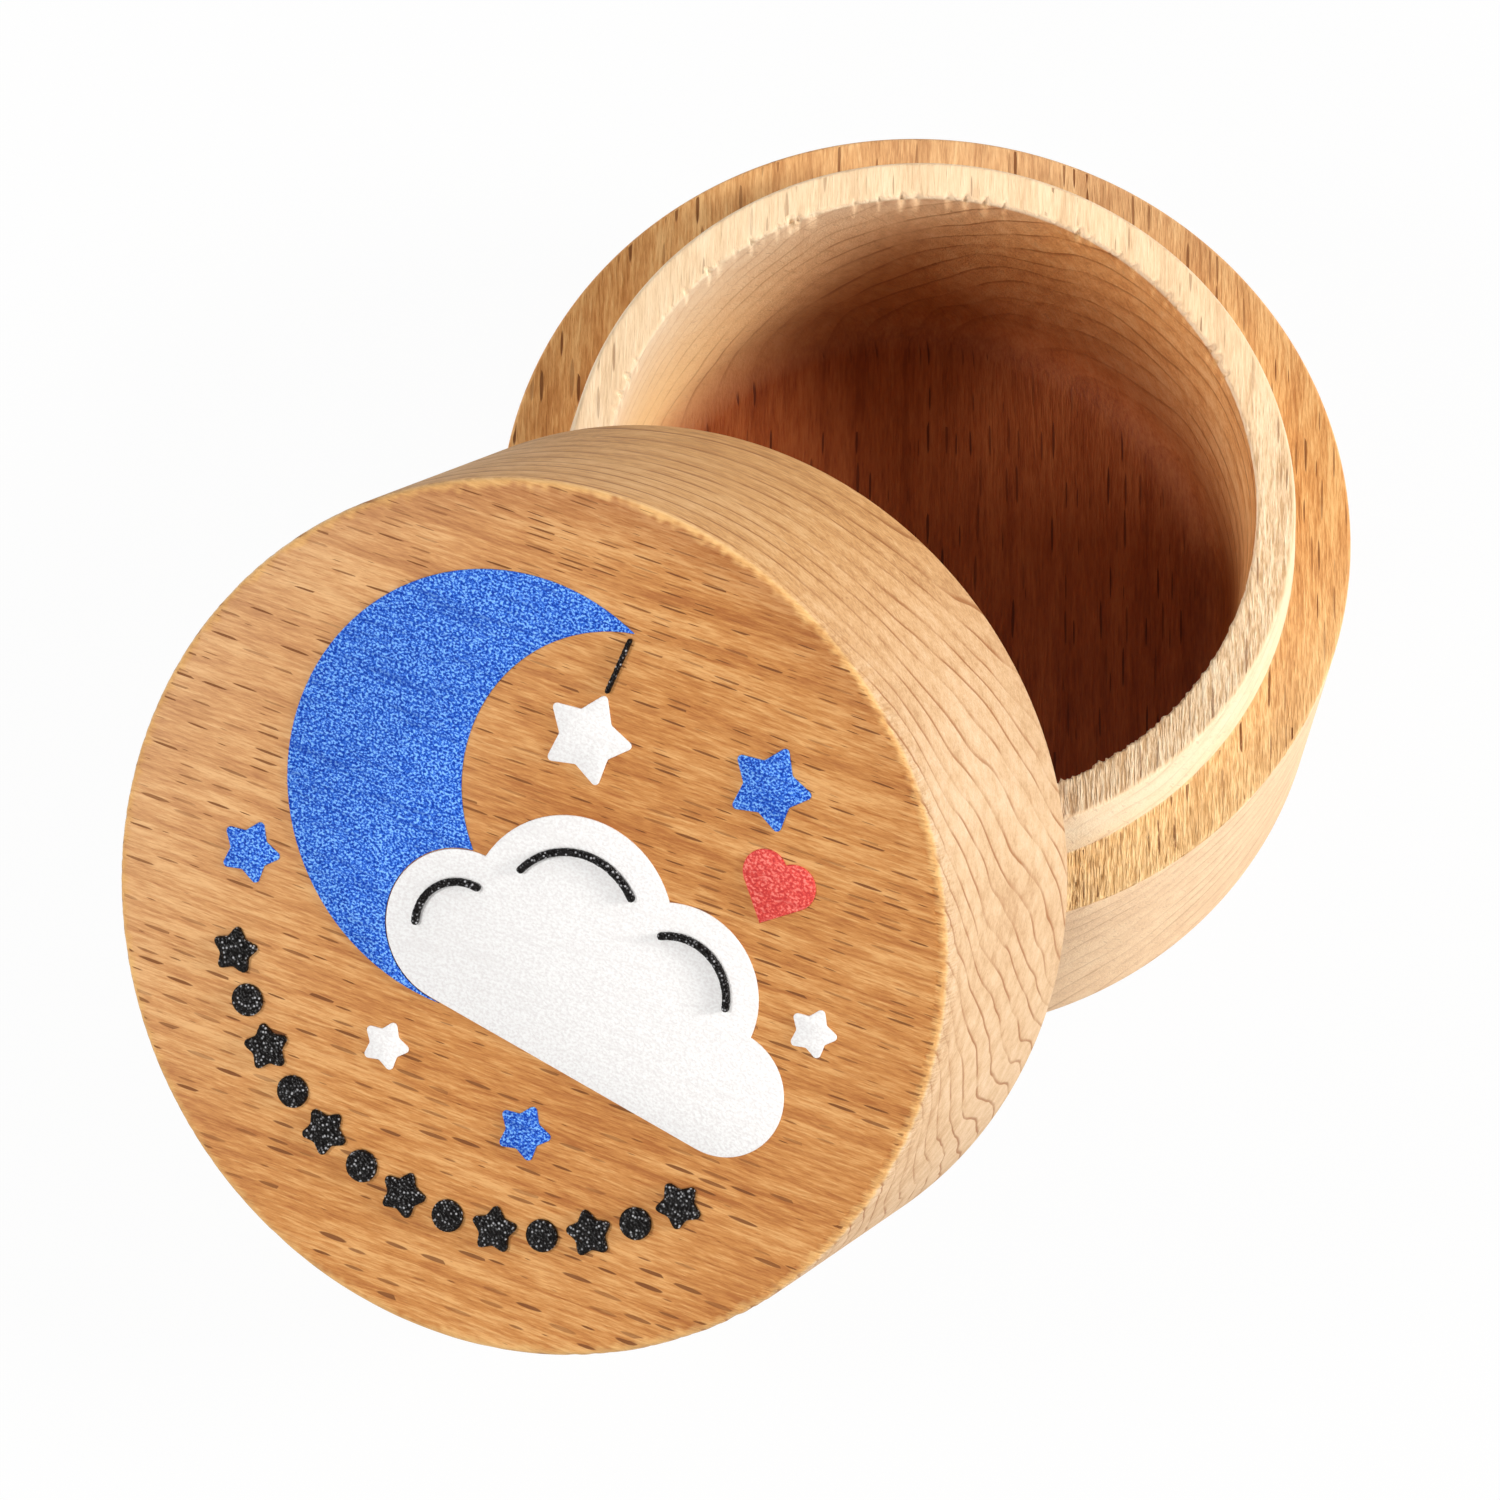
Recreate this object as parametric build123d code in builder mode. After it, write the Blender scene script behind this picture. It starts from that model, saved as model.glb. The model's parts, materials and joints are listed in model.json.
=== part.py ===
# Keepsake box for baby teeth, turned in beech: a round base cup with a spigot, and a lid that caps it.
# The base stands on Z = 0 with its axis on +Z. The lid is off and leans on the base, its foot towards -Y.
import os
from math import asin, atan2, cos, hypot, pi, radians, sin, sqrt

from build123d import *

os.makedirs("parts", exist_ok=True)

# Base cup, mm
outer_radius = 25.0
foot_edge_round = 0.4
shoulder_height = 19.3
shoulder_width = 3.3
shoulder_edge_round = 0.25
spigot_height = 4.9
spigot_taper = 0.5
spigot_wall = 2.25
spigot_edge_round = 0.3
cavity_depth = 18.3
cavity_cove_radius = 2.2
cavity_mouth_round = 0.25

# Lid, mm
lid_height = 20.7
lid_rim_round = 0.4
lid_face_round = 0.4
lid_fit_clearance = 0.15
recess_depth = 12.0
recess_cove_radius = 2.0
recess_mouth_round = 0.3

# How the lid leans on the base: how far up its mouth it bears, as a share of the mouth's radius, and mm
bearing_share = 0.65
lean_clearance = 0.1

# Printed decoration: flat colour ink, and thick black ink, mm and degrees
print_margin = 4.5
print_turn = 9.0
colour_ink_thickness = 0.12
black_ink_thickness = 0.25
ink_gap = 0.06
ink_corner_round = 0.25
stroke_width = 0.45
thread_width = 0.3

# Garland of black stars and dots along the lid's lower edge, mm and degrees
garland_inset = 2.5
garland_span = 111.0
garland_count = 13
garland_star_radius = 1.6
garland_dot_radius = 0.95

# Motifs: x, y and radius as shares of the print's radius, y towards the top of the design
moon_share = (-0.22, 0.28, 0.62)
moon_bite_share = (0.10, 0.44, 0.46)
cloud_puff_shares = [
    (-0.16, -0.11, 0.22),
    (0.12, 0.06, 0.30),
    (0.46, 0.03, 0.25),
    (0.70, -0.15, 0.18),
]
star_shares = {
    "hanging_star_white": (-0.05, 0.55, 0.14),
    "upper_star_blue": (0.47, 0.68, 0.13),
    "side_star_blue": (-0.80, -0.22, 0.10),
    "side_star_white": (0.86, 0.13, 0.08),
    "lower_star_blue": (0.24, -0.54, 0.09),
    "lower_star_white": (-0.22, -0.52, 0.08),
}
heart_share = (0.60, 0.42, 0.09)
thread_top_share = 0.86

# Crest lines just inside the cloud's puffs: x, y and radius as shares of the print's radius, then start
# and sweep in degrees
cloud_crest_shares = [
    (-0.16, -0.11, 0.13, 200, -110),
    (0.12, 0.06, 0.20, 160, -110),
    (0.46, 0.03, 0.16, 125, -110),
]

# Plump stars
star_arms = 5
star_waist_share = 0.58

# Sizes that follow from the ones above
base_height = shoulder_height + spigot_height
spigot_foot_radius = outer_radius - shoulder_width
spigot_top_radius = spigot_foot_radius - spigot_taper
cavity_radius = spigot_top_radius - spigot_wall
cavity_floor_height = base_height - cavity_depth
recess_radius = spigot_foot_radius + lid_fit_clearance
print_radius = outer_radius - print_margin
garland_radius = print_radius - garland_inset

# The lowest point of the lid's rounded rim rests on the floor, and the mouth of its recess bears on
# the spigot's top edge, at one point on each side. Both together give the angle that it leans at.
bearing_radius = recess_radius - lean_clearance
bearing_slope_length = bearing_share * bearing_radius
rim_round_centre = outer_radius - lid_rim_round
slope_length = hypot(rim_round_centre + bearing_slope_length, lid_rim_round)
slope_turn = atan2(lid_rim_round, rim_round_centre + bearing_slope_length)
lean_angle = asin((base_height - lid_rim_round) / slope_length) + slope_turn
lean_sin = sin(lean_angle)
lean_cos = cos(lean_angle)
rim_centre_height = rim_round_centre * lean_sin + lid_rim_round * (1 - lean_cos)
bearing_half_width = sqrt(bearing_radius**2 - bearing_slope_length**2)
bearing_reach = sqrt(spigot_top_radius**2 - bearing_half_width**2)
rim_centre_setback = bearing_reach + bearing_slope_length * lean_cos

# Planes of the leaning lid
lid_direction = Vector(0, -lean_sin, lean_cos)
rim_centre = Vector(0, -rim_centre_setback, rim_centre_height)
face_centre = rim_centre + lid_direction * lid_height
lid_section_plane = Plane(origin=rim_centre, x_dir=(1, 0, 0), z_dir=(0, -lean_cos, -lean_sin))
lid_face_plane = Plane(origin=face_centre, x_dir=(1, 0, 0), z_dir=lid_direction)
print_plane = Plane(lid_face_plane.location * Rotation(0, 0, print_turn))
overprint_plane = print_plane.offset(colour_ink_thickness)


def save(piece, name):
    """Label a finished piece and write it under its own name."""
    piece.part.label = name
    export_step(piece.part, f"parts/{name}.step")


def draw_turned_outline(corners):
    """Half outline of a turned piece, closed on its axis, from (radius, height, corner round) triples."""
    FilletPolyline(
        [(radius, height) for radius, height, _ in corners],
        radius=[corner_round for _, _, corner_round in corners],
        close=True,
    )


def star_corners(radius):
    """Corners of a plump star about the origin, with one arm pointing straight up."""
    corners = []
    for step in range(2 * star_arms):
        reach = radius if step % 2 == 0 else star_waist_share * radius
        angle = pi / 2 + step * pi / star_arms
        corners.append((reach * cos(angle), reach * sin(angle)))
    return corners


def draw_circles(shares, growth=0, mode=Mode.ADD):
    """Circles given in shares of the print's radius, each made larger by a growth in mm."""
    for x_share, y_share, radius_share in shares:
        with Locations((x_share * print_radius, y_share * print_radius)):
            Circle(radius_share * print_radius + growth, mode=mode)


def draw_cloud(growth=0, mode=Mode.ADD):
    """A cloud of round puffs on a flat underside, made larger all round by a growth in mm."""
    draw_circles(cloud_puff_shares, growth, mode)
    left_x, left_y, left_radius = cloud_puff_shares[0]
    right_x, right_y, right_radius = cloud_puff_shares[-1]
    underside = (left_y - left_radius) * print_radius - growth
    Polygon(
        (left_x * print_radius, underside),
        (right_x * print_radius, underside),
        (right_x * print_radius, right_y * print_radius),
        (left_x * print_radius, left_y * print_radius),
        mode=mode,
    )


# Base cup: foot, shoulder, tapered spigot and a flat-bottomed cavity
with BuildPart() as base_cup:
    with BuildSketch(Plane.XZ):
        with BuildLine():
            draw_turned_outline([
                (0, 0, 0),
                (outer_radius, 0, foot_edge_round),
                (outer_radius, shoulder_height, shoulder_edge_round),
                (spigot_foot_radius, shoulder_height, 0),
                (spigot_top_radius, base_height, spigot_edge_round),
                (cavity_radius, base_height, cavity_mouth_round),
                (cavity_radius, cavity_floor_height, cavity_cove_radius),
                (0, cavity_floor_height, 0),
            ])
        make_face()
    revolve(axis=Axis.Z)
save(base_cup, "base_cup")

# Lid: a cap as wide as the base, with a blind recess that takes the spigot
with BuildPart() as lid_cap:
    with BuildSketch(lid_section_plane):
        with BuildLine():
            draw_turned_outline([
                (0, recess_depth, 0),
                (recess_radius, recess_depth, recess_cove_radius),
                (recess_radius, 0, recess_mouth_round),
                (outer_radius, 0, lid_rim_round),
                (outer_radius, lid_height, lid_face_round),
                (0, lid_height, 0),
            ])
        make_face()
    revolve(axis=Axis(rim_centre, lid_direction))
save(lid_cap, "lid_cap")

# Crescent moon in blue ink, cut away around the cloud in front of it
with BuildPart() as moon_blue:
    with BuildSketch(print_plane):
        draw_circles([moon_share])
        draw_circles([moon_bite_share], mode=Mode.SUBTRACT)
        draw_cloud(ink_gap, mode=Mode.SUBTRACT)
    extrude(amount=colour_ink_thickness)
save(moon_blue, "moon_blue")

# Cloud in white ink
with BuildPart() as cloud_white:
    with BuildSketch(print_plane):
        draw_cloud()
    extrude(amount=colour_ink_thickness)
save(cloud_white, "cloud_white")

# Crest lines in thick black ink, over the cloud
for number, (x_share, y_share, radius_share, start, sweep) in enumerate(cloud_crest_shares, 1):
    centre = (x_share * print_radius, y_share * print_radius)
    crest_arc = CenterArc(centre, radius_share * print_radius, start, sweep)
    with BuildPart() as cloud_crest:
        with BuildSketch(overprint_plane):
            SlotArc(crest_arc, stroke_width)
        extrude(amount=black_ink_thickness)
    save(cloud_crest, f"cloud_crest_{number}_black")

# Stars in flat colour ink
for name, (x_share, y_share, radius_share) in star_shares.items():
    with BuildPart() as star:
        with BuildSketch(print_plane) as star_outline:
            with Locations((x_share * print_radius, y_share * print_radius)):
                Polygon(star_corners(radius_share * print_radius))
            fillet(star_outline.vertices(), ink_corner_round)
        extrude(amount=colour_ink_thickness)
    save(star, name)

# Thread in thick black ink, from just under the moon's upper horn to the star that hangs on it
star_x_share, star_y_share, star_radius_share = star_shares["hanging_star_white"]
thread_foot_share = star_y_share + star_radius_share
with BuildPart() as hanging_thread_black:
    with BuildSketch(print_plane):
        middle_share = (thread_top_share + thread_foot_share) / 2
        with Locations((star_x_share * print_radius, middle_share * print_radius)):
            length = (thread_top_share - thread_foot_share) * print_radius
            SlotOverall(length, thread_width, rotation=90)
    extrude(amount=black_ink_thickness)
save(hanging_thread_black, "hanging_thread_black")

# Small red heart: a square on its corner with a round lobe on each upper side
with BuildPart() as heart_red:
    with BuildSketch(print_plane):
        x_share, y_share, radius_share = heart_share
        side = radius_share * print_radius * sqrt(2)
        lobe_offset = side / 2 * cos(radians(45))
        with Locations((x_share * print_radius, y_share * print_radius)):
            Rectangle(side, side, rotation=45)
            with Locations((-lobe_offset, lobe_offset), (lobe_offset, lobe_offset)):
                Circle(side / 2)
    extrude(amount=colour_ink_thickness)
save(heart_red, "heart_red")

# Garland of thick black stars and dots, each printed on its own
for number in range(1, garland_count + 1):
    angle = (number - 1) * garland_span / (garland_count - 1) - garland_span / 2
    is_star = number % 2 == 1
    with BuildPart() as garland_mark:
        with BuildSketch(print_plane) as mark_outline:
            with PolarLocations(garland_radius, 1, start_angle=angle - 90):
                if is_star:
                    Polygon(star_corners(garland_star_radius), rotation=90)
                else:
                    Circle(garland_dot_radius)
            if is_star:
                fillet(mark_outline.vertices(), ink_corner_round)
        extrude(amount=black_ink_thickness)
    save(garland_mark, f"garland_{number:02d}_{'star' if is_star else 'dot'}_black")
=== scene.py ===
import json
from math import atan2, cos, pi, radians, sin

import bmesh
import bpy
from mathutils import Matrix, Vector, kdtree, noise


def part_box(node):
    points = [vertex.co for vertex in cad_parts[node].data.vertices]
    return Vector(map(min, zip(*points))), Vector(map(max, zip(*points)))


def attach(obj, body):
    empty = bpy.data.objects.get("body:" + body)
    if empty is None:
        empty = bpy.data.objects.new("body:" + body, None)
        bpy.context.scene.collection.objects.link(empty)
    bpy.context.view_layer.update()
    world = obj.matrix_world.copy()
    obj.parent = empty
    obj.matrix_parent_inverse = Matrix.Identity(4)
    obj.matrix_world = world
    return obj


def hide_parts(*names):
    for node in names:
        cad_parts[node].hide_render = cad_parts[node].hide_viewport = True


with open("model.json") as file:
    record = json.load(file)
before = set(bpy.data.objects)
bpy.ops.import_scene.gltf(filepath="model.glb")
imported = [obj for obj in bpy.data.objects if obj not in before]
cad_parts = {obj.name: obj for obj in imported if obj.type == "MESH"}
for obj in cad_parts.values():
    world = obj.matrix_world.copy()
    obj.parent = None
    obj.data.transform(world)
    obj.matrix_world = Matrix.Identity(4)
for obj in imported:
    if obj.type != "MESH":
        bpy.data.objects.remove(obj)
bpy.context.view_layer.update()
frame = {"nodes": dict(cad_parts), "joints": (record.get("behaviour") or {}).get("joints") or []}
mm = 0.001

# Shares that each turned piece's vertices carry, for the wood's material to read
wood_marks = ("torn", "pale_and_painted_light", "golden_and_painted_light", "painted_shade_and_dark_band")


def worked(piece, kind, **settings):
    """The piece after one modifier, as a new bmesh. The old one is freed."""
    mesh = bpy.data.meshes.new("blank")
    piece.to_mesh(mesh)
    piece.free()
    blank = bpy.data.objects.new("blank", mesh)
    bpy.context.scene.collection.objects.link(blank)
    modifier = blank.modifiers.new("work", kind)
    for name, value in settings.items():
        setattr(modifier, name, value)
    finished = blank.evaluated_get(bpy.context.evaluated_depsgraph_get())
    mesh = bpy.data.meshes.new_from_object(finished)
    bpy.data.objects.remove(blank)
    piece = bmesh.new()
    piece.from_mesh(mesh)
    return piece


def turned(corners, steps, rough_height=None):
    """Turn a half section, given as (radius, height, corner round), once about Z into a closed skin.
    Level faces above the rough height get close rings, to carry torn fibres."""
    close_ring_spacing = 0.15 * mm
    wide_ring_spacing = 2.0 * mm
    level_tolerance = 0.01 * mm
    merge_distance = 0.002 * mm
    section = bmesh.new()
    points = [section.verts.new((radius, 0, height)) for radius, height, _ in corners]
    for start, end in zip(points, points[1:]):
        section.edges.new((start, end))
    for point, (_, _, corner_round) in zip(points, corners):
        if corner_round:
            bmesh.ops.bevel(section, geom=[point], offset=corner_round, affect="VERTICES",
                            segments=5, profile=0.5, material=-1)
    for edge in list(section.edges):
        start, end = (vertex.co for vertex in edge.verts)
        is_level = abs(start.z - end.z) < level_tolerance
        is_rough = rough_height is not None and is_level and start.z > rough_height
        ring_spacing = close_ring_spacing if is_rough else wide_ring_spacing
        cuts = int(edge.calc_length() / ring_spacing)
        if cuts:
            bmesh.ops.subdivide_edges(section, edges=[edge], cuts=cuts)
    piece = worked(section, "SCREW", angle=2 * pi, steps=steps, render_steps=steps, use_merge_vertices=True)
    bmesh.ops.remove_doubles(piece, verts=piece.verts, dist=merge_distance)
    bmesh.ops.recalc_face_normals(piece, faces=piece.faces)
    for mark in wood_marks:
        piece.verts.layers.float.new(mark)
    return piece


def add_object(name, finished, material):
    """Make an object of a finished bmesh, in place."""
    mesh = bpy.data.meshes.new(name)
    finished.to_mesh(mesh)
    finished.free()
    mesh.shade_smooth()
    mesh.materials.append(material)
    made = bpy.data.objects.new(name, mesh)
    bpy.context.scene.collection.objects.link(made)
    return made


def add_piece(name, finished, material, body):
    """Make an object of a finished bmesh, and let it ride on its body."""
    piece = add_object(name, finished, material)
    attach(piece, body)
    return piece


def blank_material(name):
    """A plain material, with its node tree and its shader."""
    material = bpy.data.materials.new(name)
    material.use_nodes = True
    tree = material.node_tree
    return material, tree, tree.nodes["Principled BSDF"]


def node(tree, kind, inputs=None, **settings):
    """Add a shader node, set it up, and feed its inputs from values or from other nodes' sockets."""
    added = tree.nodes.new(kind)
    for name, value in settings.items():
        setattr(added, name, value)
    for name, value in (inputs or {}).items():
        if isinstance(value, bpy.types.NodeSocket):
            tree.links.new(value, added.inputs[name])
        else:
            added.inputs[name].default_value = value
    return added


def math(tree, operation, first, second=0.0, third=0.0):
    """The output of one math node."""
    inputs = {0: first, 1: second, 2: third}
    return node(tree, "ShaderNodeMath", inputs, operation=operation).outputs[0]


def vector_math(tree, operation, first, second, third=(0, 0, 0)):
    """The output of one vector math node."""
    inputs = {0: first, 1: second, 2: third}
    return node(tree, "ShaderNodeVectorMath", inputs, operation=operation).outputs[0]


def centred(tree, value):
    """A value about a half, such as a noise, as one about nought."""
    return math(tree, "SUBTRACT", value, 0.5)


def ramp(tree, value, low, high, low_result=0.0, high_result=1.0):
    """A value eased from one result to another between two limits."""
    inputs = {
        "Value": value,
        "From Min": low,
        "From Max": high,
        "To Min": low_result,
        "To Max": high_result,
    }
    return node(tree, "ShaderNodeMapRange", inputs, interpolation_type="SMOOTHSTEP").outputs[0]


def blend(tree, share, first, second, blend_type="MIX"):
    """Two colours mixed by a share."""
    inputs = {0: share, 6: first, 7: second}
    return node(tree, "ShaderNodeMix", inputs, data_type="RGBA", blend_type=blend_type).outputs[2]


def tones(tree, tone, dark, plain, light):
    """A colour from dark through plain to light, as the tone goes from 0 to 1."""
    colours = node(tree, "ShaderNodeValToRGB", {0: tone})
    colours.color_ramp.elements[0].color = dark
    colours.color_ramp.elements[1].color = light
    colours.color_ramp.elements.new(0.5).color = plain
    return colours.outputs[0]


def stretched_noise(tree, place, scales, detail=2.0, roughness=0.5, output="Fac"):
    """Noise whose lumps per metre differ along, across and through the grain."""
    scaled = vector_math(tree, "MULTIPLY", place, scales)
    inputs = {"Vector": scaled, "Scale": 1.0, "Detail": detail, "Roughness": roughness}
    return node(tree, "ShaderNodeTexNoise", inputs).outputs[output]


def seen_along_grain(tree, vector, turn, centre=(0, 0, 0)):
    """A place or a direction measured along, across and through the grain of a turned piece of wood."""
    inputs = {"Vector": vector, "Location": centre, "Rotation": turn}
    return node(tree, "ShaderNodeMapping", inputs, vector_type="TEXTURE").outputs[0]


def add_relief(tree, shader, height, depth, invert=False):
    """Raise a material's surface by a height times a depth."""
    inputs = {"Height": height, "Distance": depth, "Strength": 1.0}
    bump = node(tree, "ShaderNodeBump", inputs, invert=invert)
    tree.links.new(bump.outputs[0], shader.inputs["Normal"])


def growth_rings(tree, place, drifted, ring_square, ring_area):
    """The late part of each year's wood, and the thin darker line that the year ends in. Each year adds
    about the same area."""
    unevenness = math(tree, "MULTIPLY", stretched_noise(tree, drifted, (8, 90, 90)), 3.2)
    year = math(tree, "FRACT", math(tree, "MULTIPLY_ADD", ring_square, 1 / ring_area, unevenness))
    late_wood = ramp(tree, year, 0.35, 0.97)
    line = math(tree, "MULTIPLY", ramp(tree, year, 0.80, 0.94), ramp(tree, year, 1.0, 0.97))
    line_chance = stretched_noise(tree, place, (260, 260, 260))
    line = math(tree, "MULTIPLY", line, ramp(tree, line_chance, 0.35, 0.60, 0.15, 1.0))
    return late_wood, line


# Rays keep their given spacing at this distance from the pith
ray_reach = 70 * mm


def ray_flecks(tree, along, ring_angle, ray_length, ray_spacing):
    """Rays, the sheets that run out from the pith, as the short dark lenses they make on a flat face."""
    ray_width = 0.155 * mm
    inputs = {
        "X": math(tree, "DIVIDE", along, ray_length),
        "Y": math(tree, "MULTIPLY", ring_angle, ray_reach / ray_spacing),
    }
    place = node(tree, "ShaderNodeCombineXYZ", inputs).outputs[0]
    inputs = {"Vector": place, "Scale": 1.0, "Randomness": 0.9}
    rays = node(tree, "ShaderNodeTexVoronoi", inputs, voronoi_dimensions="2D").outputs
    from_ray = vector_math(tree, "SUBTRACT", place, rays["Position"])
    from_ray = vector_math(tree, "MULTIPLY", from_ray, (1, ray_spacing / ray_width, 0))
    from_ray = node(tree, "ShaderNodeVectorMath", {0: from_ray}, operation="LENGTH").outputs["Value"]
    chance = node(tree, "ShaderNodeSeparateColor", {0: rays["Color"]}).outputs
    size = ramp(tree, chance[0], 0.12, 1.0, 0.0, 0.48)
    strength = ramp(tree, chance[1], 0.1, 0.9, 0.45, 1.0)
    inside = ramp(tree, math(tree, "SUBTRACT", size, from_ray), 0.0, 0.10)
    return math(tree, "MULTIPLY", inside, strength)


def ray_hatch(tree, along, ring_angle, ring_radius):
    """The same rays cut across, as a fine hatch over the rings."""
    inputs = {
        "X": math(tree, "MULTIPLY", ring_angle, ray_reach / (0.14 * mm)),
        "Y": math(tree, "MULTIPLY", ring_radius, 1 / (1.2 * mm)),
        "Z": math(tree, "MULTIPLY", along, 1 / (0.8 * mm)),
    }
    place = node(tree, "ShaderNodeCombineXYZ", inputs).outputs[0]
    inputs = {"Vector": place, "Scale": 1.0, "Detail": 2.0, "Roughness": 0.6}
    return node(tree, "ShaderNodeTexNoise", inputs).outputs["Fac"]


def beech(name, centre, turn, pith, ring_area, line_strength, ray_length, ray_spacing,
          face_tones, side_tones, end_tones):
    """Solid beech: growth rings about a pith, ray flecks on the flat faces, and fibre along the grain.
    The mesh's own marks say where it is torn, where it is pale or golden, partly as painted light, and
    where it is darker, as painted shade in the base's cavity and as a band on the lid."""
    pale_tones = ((0.60, 0.39, 0.21, 1), (0.83, 0.62, 0.40, 1), (0.93, 0.78, 0.57, 1))
    golden_colour = (0.95, 0.66, 0.28, 1)
    line_colour = (0.32, 0.12, 0.038, 1)
    fleck_colour = (0.185, 0.058, 0.014, 1)
    darkening_colour = (0.42, 0.20, 0.13, 1)
    material, tree, shader = blank_material(name)
    texture = node(tree, "ShaderNodeTexCoord").outputs
    place = seen_along_grain(tree, texture["Object"], turn, centre)
    torn, pale_and_painted_light, golden_and_painted_light, painted_shade_and_dark_band = (
        node(tree, "ShaderNodeAttribute", attribute_name=mark).outputs["Fac"] for mark in wood_marks
    )

    # Flat faces, walls along the grain and walls across it are told apart by the way they face
    facing = seen_along_grain(tree, texture["Normal"], turn)
    facing = node(tree, "ShaderNodeSeparateXYZ", {0: facing}).outputs
    upward = math(tree, "ABSOLUTE", facing[2])
    flatness = ramp(tree, upward, 0.45, 0.95)
    steepness = math(tree, "SUBTRACT", 1.0, flatness)
    end_grain = ramp(tree, math(tree, "ABSOLUTE", facing[0]), 0.25, 0.95)

    # No trunk is quite straight, so its rings and rays drift
    drift_reach = 1.1 * mm
    drift = stretched_noise(tree, place, (25, 130, 130), 3.0, output="Color")
    drift = vector_math(tree, "SUBTRACT", drift, (0.5, 0.5, 0.5))
    drifted = vector_math(tree, "MULTIPLY_ADD", drift, (drift_reach, drift_reach, drift_reach), place)
    along, across, through = node(tree, "ShaderNodeSeparateXYZ", {0: drifted}).outputs
    pith_across, pith_through = pith
    from_pith_across = math(tree, "SUBTRACT", across, pith_across)
    from_pith_through = math(tree, "SUBTRACT", through, pith_through)
    ring_square = math(tree, "MULTIPLY", from_pith_across, from_pith_across)
    ring_square = math(tree, "MULTIPLY_ADD", from_pith_through, from_pith_through, ring_square)
    ring_angle = math(tree, "ARCTAN2", from_pith_across, from_pith_through)

    # Rings, and rays as flecks on the flat faces and as a hatch with small pits on the end grain
    late_wood, ring_line = growth_rings(tree, place, drifted, ring_square, ring_area)
    fleck = ray_flecks(tree, along, ring_angle, ray_length, ray_spacing)
    hatch = ray_hatch(tree, along, ring_angle, math(tree, "SQRT", ring_square))
    pit = math(tree, "MULTIPLY", ramp(tree, hatch, 0.58, 0.70), end_grain)
    pit = math(tree, "MULTIPLY", pit, steepness)
    hatch = math(tree, "MULTIPLY", centred(tree, hatch), steepness)

    # Fibre, broad streaks along it, and the ridges that tearing leaves
    fibre = stretched_noise(tree, drifted, (600, 6000, 6000), 3.0, 0.7)
    fibre_gain = math(tree, "MULTIPLY_ADD", end_grain, -1.2, 2.2)
    streak = stretched_noise(tree, drifted, (110, 1000, 1000), 3.0, 0.6)
    cloudiness = stretched_noise(tree, place, (40, 90, 90))
    ridges = stretched_noise(tree, place, (1000, 8500, 850), 2.0, 0.6)
    torn_ridges = math(tree, "MULTIPLY", centred(tree, ridges), torn)

    # The tone is 0 for the darkest wood and 1 for the lightest
    tone = 0.56
    for part, gain in (
        (centred(tree, streak), 1.45),
        (centred(tree, fibre), fibre_gain),
        (hatch, 0.9),
        (torn_ridges, 5.4),
        (torn, -0.10),
        (centred(tree, cloudiness), 0.9),
        (late_wood, -0.16),
    ):
        tone = math(tree, "MULTIPLY_ADD", part, gain, tone)
    pale_contrast = math(tree, "MULTIPLY_ADD", torn, 0.25, 0.45)
    pale_tone = math(tree, "MULTIPLY_ADD", centred(tree, tone), pale_contrast, 0.5)
    pale_tone = math(tree, "MULTIPLY_ADD", steepness, 0.38, pale_tone)
    colour = blend(tree, end_grain, tones(tree, tone, *side_tones), tones(tree, tone, *end_tones))
    colour = blend(tree, flatness, colour, tones(tree, tone, *face_tones))
    # Pale and golden are partly the wood's own tone and partly painted light: the cavity's lit side, a
    # painted sheen on the lid's face and a painted highlight along its edge
    colour = blend(tree, pale_and_painted_light, colour, tones(tree, pale_tone, *pale_tones))
    colour = blend(tree, golden_and_painted_light, colour, golden_colour)

    # Ring lines are plainest on the walls, and flecks only show on flat faces. Both fade in pale wood
    line_share = math(tree, "MULTIPLY", ring_line, ramp(tree, flatness, 0.0, 1.0, line_strength, 0.12))
    line_share = math(tree, "MULTIPLY", line_share, ramp(tree, pale_and_painted_light, 0.0, 1.0, 1.0, 0.25))
    line_share = math(tree, "MULTIPLY", line_share, ramp(tree, painted_shade_and_dark_band, 0.3, 1.0, 1.0, 0.4))
    line_share = math(tree, "MAXIMUM", line_share, math(tree, "MULTIPLY", pit, 0.30))
    colour = blend(tree, line_share, colour, line_colour)
    fleck_share = math(tree, "MULTIPLY", fleck, ramp(tree, upward, 0.93, 0.99, 0.0, 0.92))
    fleck_share = math(tree, "MULTIPLY", fleck_share, ramp(tree, pale_and_painted_light, 0.5, 1.0, 1.0, 0.55))
    colour = blend(tree, fleck_share, colour, fleck_colour)
    # Painted shade: this darkens the base's cavity towards its floor, and a band near the lid face's upper
    # edge
    colour = blend(tree, painted_shade_and_dark_band, colour, darkening_colour, blend_type="MULTIPLY")
    tree.links.new(colour, shader.inputs["Base Color"])

    # Relief: fibres stand up, flecks and ring lines are sunk, torn fibres stand up most
    relief = math(tree, "MULTIPLY", fibre, ramp(tree, flatness, 0.0, 1.0, 0.6, 1.0))
    for part, gain in ((fleck_share, -0.25), (line_share, -0.3), (torn_ridges, 3.0)):
        relief = math(tree, "MULTIPLY_ADD", part, gain, relief)
    add_relief(tree, shader, relief, 0.09 * mm)
    tree.links.new(ramp(tree, fibre, 0.3, 0.7, 0.50, 0.68), shader.inputs["Roughness"])
    shader.inputs["Specular IOR Level"].default_value = 0.2
    return material


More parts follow.
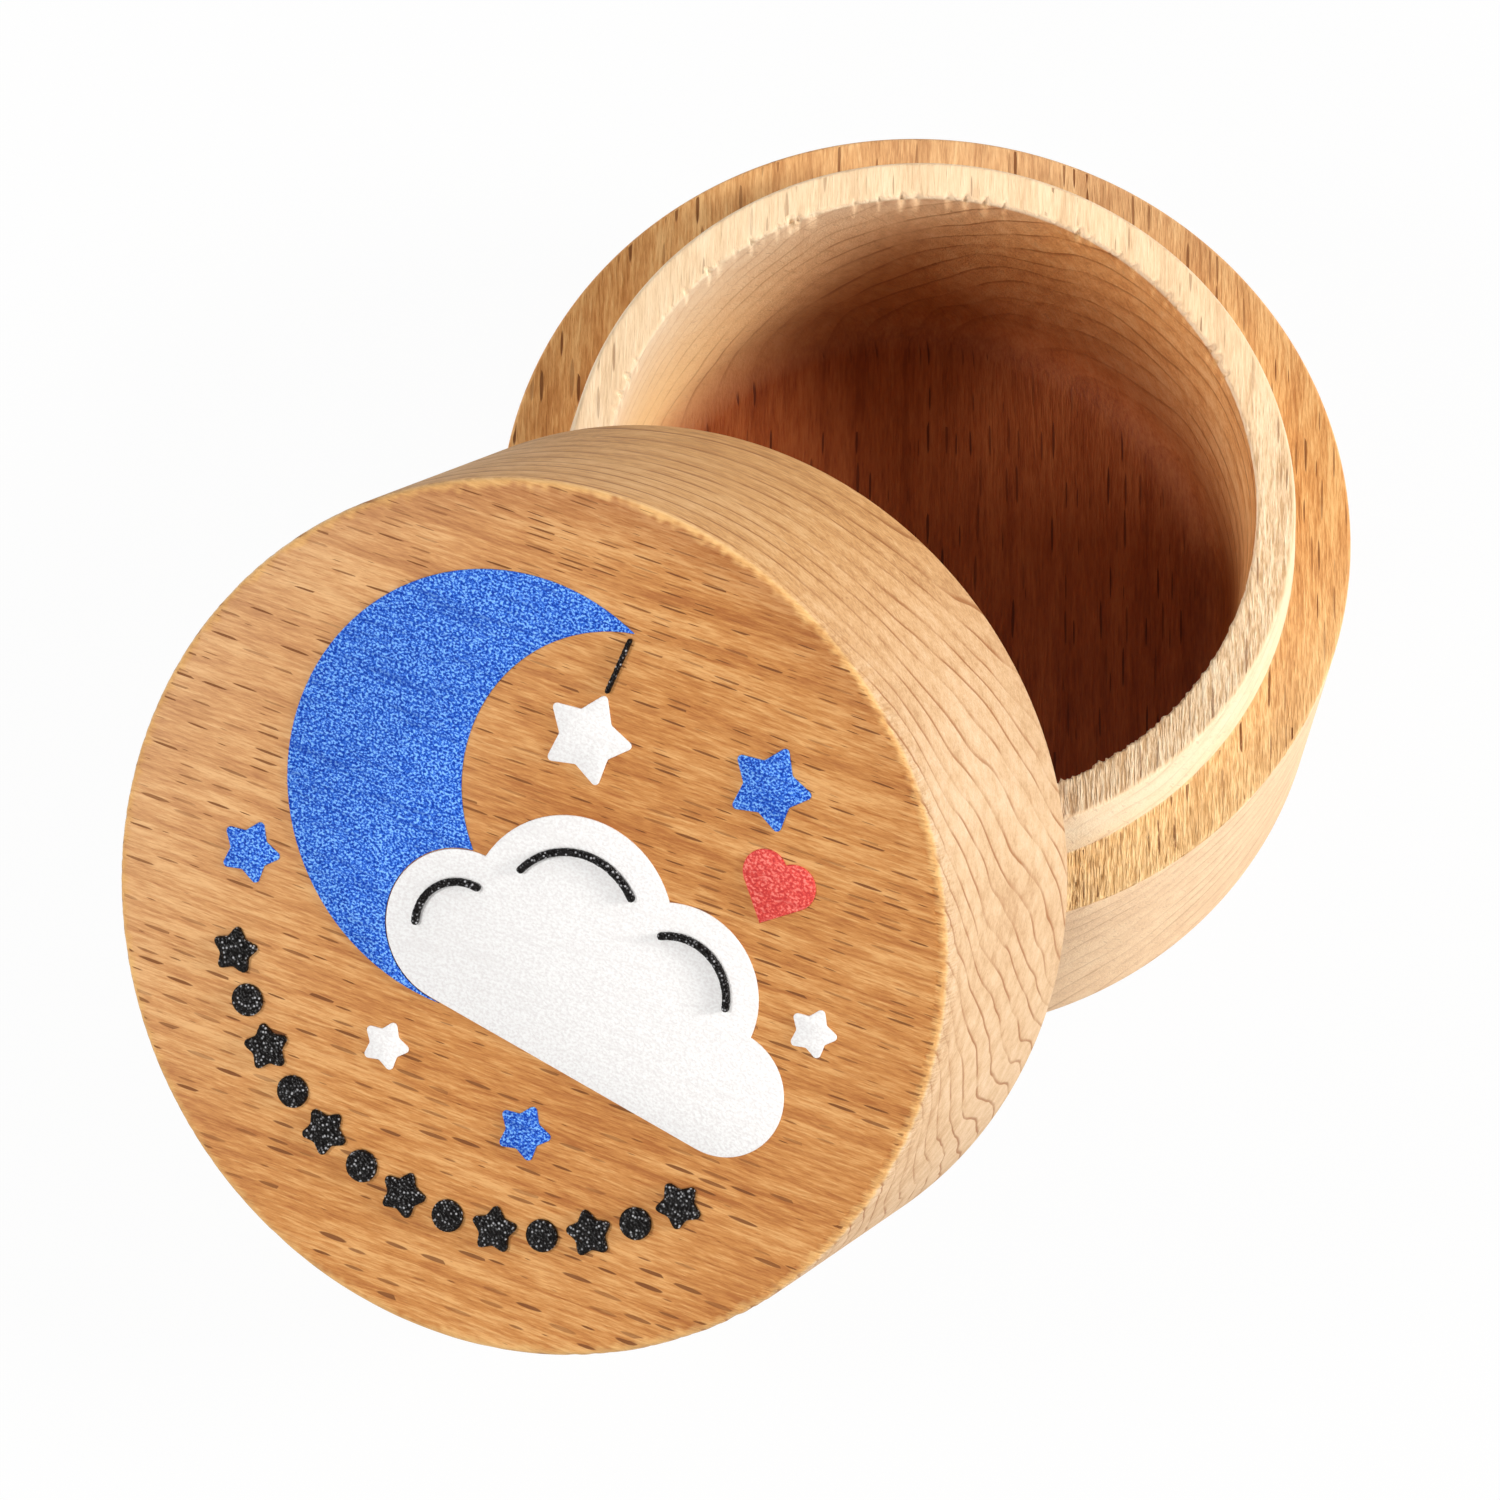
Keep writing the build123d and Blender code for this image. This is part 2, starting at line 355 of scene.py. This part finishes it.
# The base cup: one turned piece of plain beech, flat under its foot, with a shoulder for the lid and a
# raised spigot round a flat-bottomed cavity. The cutter tore the fibres of the shoulder and of the spigot's
# top, most of all where it ran against the grain, and left a saw-toothed rim there.
_, base_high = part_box("base_cup")
outer_radius = min(base_high[0], base_high[1])
base_height = base_high[2]
spigot_height = 4.9 * mm
shoulder_height = base_height - spigot_height
spigot_foot_radius = 21.7 * mm
spigot_top_radius = 21.2 * mm
cavity_radius = 18.95 * mm
cavity_depth = 18.3 * mm
cavity_cove_radius = 2.2 * mm
cavity_floor_height = base_height - cavity_depth
base_grain_azimuth = radians(128)


def tint_base(piece):
    """Mark where the base's fibres are torn and where its wood is pale or golden. Paint light where the key
    light falls in the cavity, beside it on the spigot's top and on the shoulder's far side, and paint shade
    in the cavity.
    """
    torn, pale_and_painted_light, golden_and_painted_light, painted_shade_and_dark_band = (piece.verts.layers.float[mark] for mark in wood_marks)
    # Painted light: towards this side the key light falls on the cavity's wall, which is painted paler and
    # golden, and the spigot's top is painted paler
    painted_light_azimuth = radians(195)
    # Painted light: the shoulder is paler towards this side
    shoulder_painted_light_azimuth = radians(112)
    torn_top_azimuth = radians(-25)
    torn_shoulder_azimuth = radians(-42)
    for vertex in piece.verts:
        radius = vertex.co.xy.length
        height = vertex.co.z
        azimuth = atan2(vertex.co.y, vertex.co.x)
        towards_painted_light = max(0.0, cos(azimuth - painted_light_azimuth))
        is_top = height > base_height - 0.35 * mm
        is_inside = radius < cavity_radius + 0.1 * mm and height > cavity_floor_height - 0.1 * mm
        is_shoulder = radius > spigot_foot_radius - 0.05 * mm and abs(height - shoulder_height) < 0.12 * mm
        if is_top:
            off_rim = min(1.0, max(0.0, (spigot_top_radius - radius) / (0.3 * mm)))
            tearing = max(0.0, cos(azimuth - torn_top_azimuth)) ** 0.6
            vertex[torn] = off_rim * (0.06 + 0.94 * tearing)
            # Painted light: paler still towards the lit side
            vertex[pale_and_painted_light] = 0.85 + 0.15 * towards_painted_light
        elif is_inside:
            above_floor = (height - cavity_floor_height) / cavity_depth
            is_wall = radius > cavity_radius - 2.0 * mm
            if is_wall:
                # Painted light: paler and golden where the key light falls on the wall
                paleness = towards_painted_light ** (3.6 - 2.8 * above_floor)
                vertex[pale_and_painted_light] = paleness * (0.4 + 0.6 * above_floor)
                vertex[golden_and_painted_light] = 0.6 * paleness * min(1.0, 1.5 - 1.5 * above_floor)
            # Painted shade: darker towards the floor, higher up the wall near the grain's ends, and less on
            # the lit side
            painted_shade_height = 0.72 + 0.15 * cos(azimuth - base_grain_azimuth) ** 2
            fading = max(0.0, 1 - above_floor / painted_shade_height)
            vertex[painted_shade_and_dark_band] = fading * (1 - towards_painted_light ** 2 * min(1.0, above_floor * 6))
        elif is_shoulder:
            towards_shoulder_painted_light = max(0.0, cos(azimuth - shoulder_painted_light_azimuth))
            tearing = max(0.0, cos(azimuth - torn_shoulder_azimuth)) ** 1.5
            vertex[torn] = 0.06 + 0.94 * tearing
            vertex[pale_and_painted_light] = max(0.5 * tearing, 0.3 * towards_shoulder_painted_light ** 4)
            vertex[golden_and_painted_light] = 0.4 * tearing
        else:
            vertex[pale_and_painted_light] = 1.0 if height > shoulder_height else 0.62


def tear_grain(piece):
    """Where the base's upper faces are marked torn, cut ridges along the grain and pull their rims into
    teeth. Where the spigot's top is whole, chip the cavity's rim."""
    torn = piece.verts.layers.float["torn"]
    to_grain = Matrix.Rotation(-base_grain_azimuth, 3, "Z")
    rim_width = 0.45 * mm
    chips_per_radian = 52
    for vertex in piece.verts:
        tearing = vertex[torn]
        if tearing == 0:
            continue
        radius = vertex.co.xy.length
        azimuth = atan2(vertex.co.y, vertex.co.x)
        along, across, _ = to_grain @ vertex.co
        is_top = vertex.co.z > shoulder_height + 1 * mm
        rim_radius = cavity_radius if is_top else outer_radius
        rim_share = max(0.0, 1 - abs(radius - rim_radius) / rim_width)
        end_grain_share = abs(cos(azimuth - base_grain_azimuth))

        ridge = noise.noise((along / (0.7 * mm), across / (0.16 * mm), 2.0))
        coarse_ridge = noise.noise((along / (1.6 * mm), across / (0.50 * mm), 7.0))
        ridge_depth = 0.09 * mm if is_top else 0.20 * mm
        depth = max(0.0, 0.45 + ridge + 0.5 * coarse_ridge) * ridge_depth * tearing

        tooth = noise.noise((across / (0.19 * mm), along / (3 * mm), 3.0))
        if is_top:
            pull = -(0.02 + 0.38 * max(0.0, tooth + 0.10)) * mm
        else:
            pull = -0.20 * max(0.0, tooth) * mm
        pull *= rim_share * end_grain_share * tearing

        if is_top:
            chip = max(0.0, noise.noise((azimuth * chips_per_radian, 0.5, 0.5)) - 0.08)
            chip *= rim_share * (1 - tearing) * mm
            depth += 0.9 * chip
            pull += 0.6 * chip
        vertex.co.xy *= (radius + pull) / radius
        vertex.co.z -= depth


base_wood = beech(
    "base_beech_wood",
    centre=(0, 0, 0),
    turn=(0, 0, base_grain_azimuth),
    pith=(-45 * mm, -50 * mm),
    ring_area=270 * mm * mm,
    line_strength=0.65,
    ray_length=3.0 * mm,
    ray_spacing=0.68 * mm,
    face_tones=((0.48, 0.19, 0.050, 1), (0.67, 0.32, 0.105, 1), (0.84, 0.49, 0.20, 1)),
    side_tones=((0.52, 0.21, 0.070, 1), (0.73, 0.35, 0.125, 1), (0.86, 0.50, 0.23, 1)),
    end_tones=((0.52, 0.21, 0.070, 1), (0.73, 0.35, 0.125, 1), (0.86, 0.50, 0.23, 1)),
)

# The corners without a round that lie just above the shoulder and just below the cavity's mouth are extra
# rings. They keep the shoulder's and the top's marks off the walls beside them.
base_cup = turned(
    [
        (0, 0, 0),
        (outer_radius, 0, 0.4 * mm),
        (outer_radius, shoulder_height, 0.25 * mm),
        (spigot_foot_radius, shoulder_height, 0),
        (spigot_foot_radius - 0.02 * mm, shoulder_height + 0.15 * mm, 0),
        (spigot_top_radius, base_height, 0.3 * mm),
        (cavity_radius, base_height, 0.25 * mm),
        (cavity_radius, base_height - 0.45 * mm, 0),
        (cavity_radius, cavity_floor_height, cavity_cove_radius),
        (0, cavity_floor_height, 0),
    ],
    steps=1050,
    rough_height=shoulder_height - 1 * mm,
)
tint_base(base_cup)
tear_grain(base_cup)
base_cup = add_piece("base_cup_turned", base_cup, base_wood, "base")
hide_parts("base_cup")


# The lid: a second piece of the same beech, a cap as wide as the base with a blind recess under it. It is
# off the box and leans on the spigot, so all of it is turned upright first and then tipped into place.
lid_low, lid_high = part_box("lid_cap")
lid_height = 20.7 * mm
recess_radius = 21.85 * mm
recess_depth = 12.0 * mm
recess_cove_radius = 2.0 * mm
lid_grain_angle = radians(19)
lid_direction = Vector(frame["joints"][0]["axis"]).normalized()
lean_angle = atan2(-lid_direction.y, lid_direction.z)
lid_middle = (Vector(lid_low) + Vector(lid_high)) / 2
rim_centre = lid_middle - lid_direction * lid_height / 2
lid_lean = Matrix.Rotation(lean_angle, 4, "X")
lid_grain = (lid_lean @ Matrix.Rotation(lid_grain_angle, 4, "Z")).to_euler()

lid_wood = beech(
    "lid_beech_wood",
    centre=rim_centre,
    turn=lid_grain,
    pith=(42 * mm, -24 * mm),
    ring_area=150 * mm * mm,
    line_strength=0.80,
    ray_length=2.1 * mm,
    ray_spacing=0.5 * mm,
    face_tones=((0.41, 0.140, 0.032, 1), (0.57, 0.243, 0.066, 1), (0.74, 0.39, 0.145, 1)),
    side_tones=((0.46, 0.225, 0.085, 1), (0.635, 0.340, 0.133, 1), (0.75, 0.46, 0.22, 1)),
    end_tones=((0.49, 0.290, 0.150, 1), (0.650, 0.445, 0.265, 1), (0.75, 0.55, 0.37, 1)),
)


def tint_lid(piece):
    """Mark a painted sheen that pales the face's left side, a painted highlight in its ragged golden edge,
    and a darker band near the edge.
    """
    _, pale_and_painted_light, golden_and_painted_light, painted_shade_and_dark_band = (piece.verts.layers.float[mark] for mark in wood_marks)
    dark_band_azimuth = radians(105)
    dark_band_width = 2.4 * mm
    for vertex in piece.verts:
        if vertex.co.z < lid_height - 0.2 * mm:
            continue
        azimuth = atan2(vertex.co.y, vertex.co.x)
        from_edge = outer_radius - vertex.co.xy.length
        ragged = noise.noise(vertex.co / (0.45 * mm)) + 0.6 * noise.noise(vertex.co / (1.5 * mm))
        golden_width = (0.58 + 0.35 * ragged) * mm
        edge_share = min(1.0, max(0.0, (golden_width - from_edge) / (0.35 * mm)))
        near_edge = max(0.0, 1 - from_edge / dark_band_width)
        dark_band = near_edge * max(0.0, cos(azimuth - dark_band_azimuth)) ** 3
        # Painted sheen: the face is paler towards its left
        towards_left_sheen = max(0.0, -vertex.co.x / outer_radius)
        # Painted highlight: the golden border along the face's rounded edge
        vertex[golden_and_painted_light] = 0.30 * edge_share
        vertex[pale_and_painted_light] = (1 - edge_share) * 0.26 * towards_left_sheen ** 1.5
        vertex[painted_shade_and_dark_band] = (1 - edge_share) * 0.6 * dark_band


def fray_edge(piece, grain_angle):
    """Break fibre ends off the edge round the lid's face, most where the grain ends."""
    torn = piece.verts.layers.float["torn"]
    to_grain = Matrix.Rotation(-grain_angle, 3, "Z")
    frayed_width = 0.6 * mm
    frayed_depth = 0.13 * mm
    for vertex in piece.verts:
        radius = vertex.co.xy.length
        if radius < outer_radius - frayed_width or vertex.co.z < lid_height - frayed_width:
            continue
        azimuth = atan2(vertex.co.y, vertex.co.x)
        along, across, _ = to_grain @ vertex.co
        end_grain_share = max(cos(azimuth - grain_angle), -0.15 * cos(azimuth - grain_angle))
        fine = noise.noise((across / (0.35 * mm), along / (4 * mm), 1.0))
        coarse = noise.noise((across / (1.3 * mm), along / (6 * mm), 5.0))
        break_out = max(0.0, fine + 0.1) + 0.6 * max(0.0, coarse)
        break_out *= (0.15 + 0.85 * end_grain_share) * frayed_depth
        vertex.co.xy *= (radius - break_out) / radius
        vertex.co.z -= 0.5 * break_out
        vertex[torn] = 0.4 * end_grain_share


lid_corners = [
    (0, recess_depth, 0),
    (recess_radius, recess_depth, recess_cove_radius),
    (recess_radius, 0, 0.3 * mm),
    (outer_radius, 0, 0.4 * mm),
    (outer_radius, lid_height, 0.4 * mm),
]

# Extra rings near the face's edge carry its ragged golden border, a painted highlight
for inset in (0.55 * mm, 0.70 * mm, 0.90 * mm, 1.15 * mm):
    lid_corners.append((outer_radius - inset, lid_height, 0))
lid_corners.append((0, lid_height, 0))
lid_cap = turned(lid_corners, steps=1080)
tint_lid(lid_cap)
fray_edge(lid_cap, lid_grain_angle)
bmesh.ops.transform(lid_cap, matrix=Matrix.Translation(rim_centre) @ lid_lean, verts=lid_cap.verts)
lid_cap = add_piece("lid_cap_turned", lid_cap, lid_wood, "lid")
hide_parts("lid_cap")


# The printed decoration, flat part: moon, cloud, stars and heart in satin ink that was cured as it was
# laid, so it keeps the wood's grain. Its fine sandy sparkle is partly painted, as light grains in its
# colour.
def printed_ink(name, colour, light_grain_and_sparkle, dark_grain, roughness, grain_size, relief_depth):
    """Cured ink on wood, with dark grains, light grains that are partly a painted sparkle, and faint lines
    of the wood's fibre below.
    """
    material, tree, shader = blank_material(name)
    texture = node(tree, "ShaderNodeTexCoord").outputs
    place = seen_along_grain(tree, texture["Object"], lid_grain, rim_centre)
    scale = 1 / grain_size
    grain = stretched_noise(tree, place, (0.8 * scale, scale, scale), 2.0, 0.6)
    fibre = stretched_noise(tree, place, (240, 4200, 4200))
    # The light grains are partly a painted sparkle
    tinted = blend(tree, ramp(tree, grain, 0.50, 0.62), colour, light_grain_and_sparkle)
    tinted = blend(tree, ramp(tree, grain, 0.50, 0.38), tinted, dark_grain)
    tinted = blend(tree, ramp(tree, fibre, 0.50, 0.70, 0.0, 0.5), tinted, dark_grain)
    tree.links.new(tinted, shader.inputs["Base Color"])
    add_relief(tree, shader, math(tree, "MULTIPLY_ADD", fibre, 0.4, grain), relief_depth)
    shader.inputs["Roughness"].default_value = roughness
    shader.inputs["Specular IOR Level"].default_value = 0.1
    return material


film_inks = {
    "blue": printed_ink(
        "blue_printed_ink",
        colour=(0.027, 0.145, 0.70, 1),
        light_grain_and_sparkle=(0.22, 0.50, 0.98, 1),
        dark_grain=(0.002, 0.040, 0.36, 1),
        roughness=0.28,
        grain_size=0.13 * mm,
        relief_depth=0.10 * mm,
    ),
    "white": printed_ink(
        "white_printed_ink",
        colour=(0.81, 0.80, 0.80, 1),
        light_grain_and_sparkle=(0.85, 0.85, 0.85, 1),
        dark_grain=(0.75, 0.73, 0.73, 1),
        roughness=0.45,
        grain_size=0.15 * mm,
        relief_depth=0.03 * mm,
    ),
    "red": printed_ink(
        "red_printed_ink",
        colour=(0.74, 0.075, 0.060, 1),
        light_grain_and_sparkle=(0.88, 0.22, 0.18, 1),
        dark_grain=(0.55, 0.04, 0.04, 1),
        roughness=0.35,
        grain_size=0.15 * mm,
        relief_depth=0.06 * mm,
    ),
}
film_edge_round = 0.05 * mm


def ink_island(cad_node):
    """A CAD island of ink, with its triangles merged into flat faces."""
    island = bmesh.new()
    island.from_mesh(frame["nodes"][cad_node].data)
    bmesh.ops.remove_doubles(island, verts=island.verts, dist=0.001 * mm)
    bmesh.ops.dissolve_limit(island, angle_limit=radians(1), verts=island.verts, edges=island.edges)
    return island


def ink_film(cad_node):
    """A CAD island of flat ink, with its upper edge softened."""
    film = ink_island(cad_node)
    upper = [face for face in film.faces if face.normal.dot(lid_direction) > 0.99]
    rim = [edge for face in upper for edge in face.edges]
    bmesh.ops.bevel(film, geom=rim, offset=film_edge_round, affect="EDGES",
                    segments=2, profile=0.5, material=-1)
    return film


film_nodes = [name for name in frame["nodes"] if name.rsplit("_", 1)[-1] in film_inks]
for cad_node in film_nodes:
    colour = cad_node.rsplit("_", 1)[-1]
    film = add_piece(f"{cad_node}_film", ink_film(cad_node), film_inks[colour], "lid")
    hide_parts(cad_node)


# The printed decoration, thick part: crest lines, thread and garland in black ink that was laid in many
# coats, so it stands up in glossy pebbled beads.
pebble_size = 0.21 * mm
ink_black = (0.005, 0.004, 0.004, 1)
glint_grey = (0.42, 0.42, 0.44, 1)
black_ink, black_tree, black_shader = blank_material("black_raised_ink")
black_place = node(black_tree, "ShaderNodeTexCoord").outputs["Object"]
inputs = {"Vector": black_place, "Scale": 1 / pebble_size, "Randomness": 1.0}
pebbles = node(black_tree, "ShaderNodeTexVoronoi", inputs).outputs
# Painted glints: a light grey on the crowns of some pebbles
pebble_crown = ramp(black_tree, pebbles["Distance"], 0.12, 0.42, 1.0, 0.0)
pebble_chance = node(black_tree, "ShaderNodeSeparateColor", {0: pebbles["Color"]}).outputs[0]
glint = math(black_tree, "MULTIPLY", pebble_crown, ramp(black_tree, pebble_chance, 0.0, 0.9))
black_colour = blend(black_tree, glint, ink_black, glint_grey)
black_tree.links.new(black_colour, black_shader.inputs["Base Color"])
pebble_hollows = math(black_tree, "MULTIPLY", pebbles["Distance"], pebbles["Distance"])
add_relief(black_tree, black_shader, pebble_hollows, 0.08 * mm, invert=True)
black_shader.inputs["Roughness"].default_value = 0.15
black_shader.inputs["Specular IOR Level"].default_value = 0.12

dome_height = 0.14 * mm
dome_reach = 0.50 * mm
bead_mesh_size = 0.06 * mm


def raised_ink(cad_node):
    """A CAD island of thick ink as a domed bead, remeshed finely. The remesh is done with millimetres as
    the unit, because it can't make cells this small in metres."""
    mark = ink_island(cad_node)
    bmesh.ops.scale(mark, vec=(1 / mm, 1 / mm, 1 / mm), verts=mark.verts)
    mark = worked(mark, "REMESH", mode="VOXEL", voxel_size=bead_mesh_size / mm)
    bmesh.ops.scale(mark, vec=(mm, mm, mm), verts=mark.verts)
    for _ in range(2):
        bmesh.ops.smooth_vert(mark, verts=mark.verts, factor=0.5,
                              use_axis_x=True, use_axis_y=True, use_axis_z=True)
    mark.normal_update()
    side_places = [vertex.co for vertex in mark.verts if abs(vertex.normal.dot(lid_direction)) < 0.5]
    rim = kdtree.KDTree(len(side_places))
    for number, place in enumerate(side_places):
        rim.insert(place, number)
    rim.balance()
    for vertex in mark.verts:
        facing_out = vertex.normal.dot(lid_direction)
        if facing_out > 0:
            from_rim = rim.find(vertex.co)[2]
            dome = dome_height * min(1.0, from_rim / dome_reach) ** 0.5
            vertex.co += lid_direction * dome * facing_out
    return mark


black_nodes = [name for name in frame["nodes"] if name.endswith("_black")]
for cad_node in black_nodes:
    mark = add_piece(f"{cad_node}_bead", raised_ink(cad_node), black_ink, "lid")
    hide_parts(cad_node)


# The table: a plain pale surface. To the camera it is almost white, and it keeps a faint soft shadow.
floor_half_width = 3000 * mm
floor_white_share = 0.96
floor_paint, floor_tree, floor_shader = blank_material("floor_paint")
floor_shader.inputs["Base Color"].default_value = (0.58, 0.58, 0.58, 1)
floor_shader.inputs["Roughness"].default_value = 0.9
light_path = node(floor_tree, "ShaderNodeLightPath").outputs
floor_glow = node(floor_tree, "ShaderNodeEmission", {"Color": (1, 1, 1, 1), "Strength": 1.0})
floor_glow_share = math(floor_tree, "MULTIPLY", light_path["Is Camera Ray"], floor_white_share)
inputs = {0: floor_glow_share, 1: floor_shader.outputs[0], 2: floor_glow.outputs[0]}
floor_mix = node(floor_tree, "ShaderNodeMixShader", inputs)
floor_tree.links.new(floor_mix.outputs[0], floor_tree.nodes["Material Output"].inputs["Surface"])

floor = bmesh.new()
bmesh.ops.create_grid(floor, x_segments=1, y_segments=1, size=floor_half_width)
floor = add_object("floor", floor, floor_paint)


# The room: white to the camera, and a low grey light from all round on the object
room_light_strength = 0.25
world = bpy.data.worlds.new("room")
bpy.context.scene.world = world
world.use_nodes = True
room_tree = world.node_tree
room_path = node(room_tree, "ShaderNodeLightPath").outputs
room_light = room_tree.nodes["Background"]
room_light.inputs["Color"].default_value = (1, 1, 1, 1)
room_strength = ramp(room_tree, room_path["Is Camera Ray"], 0.0, 1.0, room_light_strength, 1.0)
room_tree.links.new(room_strength, room_light.inputs["Strength"])

lamp_distance = 900 * mm


def direction_at(azimuth, elevation):
    """The direction at a compass angle and a height above the table."""
    return Vector((cos(azimuth) * cos(elevation), sin(azimuth) * cos(elevation), sin(elevation)))


def add_lamp(name, azimuth, elevation, width, height, power, colour):
    """A soft box at a compass angle and a height above the table, aimed at the lid. Its width and height
    are in metres and its power in watts."""
    lamp = bpy.data.lights.new(name, "AREA")
    lamp.shape = "RECTANGLE"
    lamp.size = width
    lamp.size_y = height
    lamp.energy = power
    lamp.color = colour
    direction = direction_at(azimuth, elevation)
    lamp_object = bpy.data.objects.new(name, lamp)
    lamp_object.location = lid_middle + direction * lamp_distance
    lamp_object.rotation_euler = direction.to_track_quat("Z", "Y").to_euler()
    bpy.context.scene.collection.objects.link(lamp_object)


add_lamp("key_light", radians(35), radians(33.5), 0.25, 0.25, 9.2, (1.0, 0.97, 0.92))
add_lamp("front_light", radians(-78), radians(38), 0.25, 0.14, 2.7, (1.0, 0.99, 0.97))
add_lamp("left_light", radians(-130), radians(40), 0.20, 0.14, 3.6, (1.0, 0.99, 0.97))
add_lamp("back_light", radians(155), radians(30), 0.6, 0.3, 1.2, (1.0, 0.98, 0.97))


# The camera: a long lens looking steeply down from the front right, as the photograph was taken
camera_azimuth = radians(-57.7273)
camera_elevation = radians(69.7811)
camera_roll = radians(7.1221)
camera_aim = Vector((-2.973, -11.445, 0)) * mm
camera_distance = 476.343 * mm
camera_data = bpy.data.cameras.new("camera")
camera_data.lens = 188.8
camera_data.sensor_width = 36
camera_data.clip_start = 50 * mm
camera_data.clip_end = 10000 * mm
camera = bpy.data.objects.new("camera", camera_data)
camera_place = camera_aim + direction_at(camera_azimuth, camera_elevation) * camera_distance
camera.matrix_world = (
    Matrix.Translation(camera_place)
    @ Matrix.Rotation(camera_azimuth + pi / 2, 4, "Z")
    @ Matrix.Rotation(pi / 2 - camera_elevation, 4, "X")
    @ Matrix.Rotation(camera_roll, 4, "Z")
)
bpy.context.scene.collection.objects.link(camera)
bpy.context.scene.camera = camera
bpy.context.scene.view_settings.view_transform = "Standard"
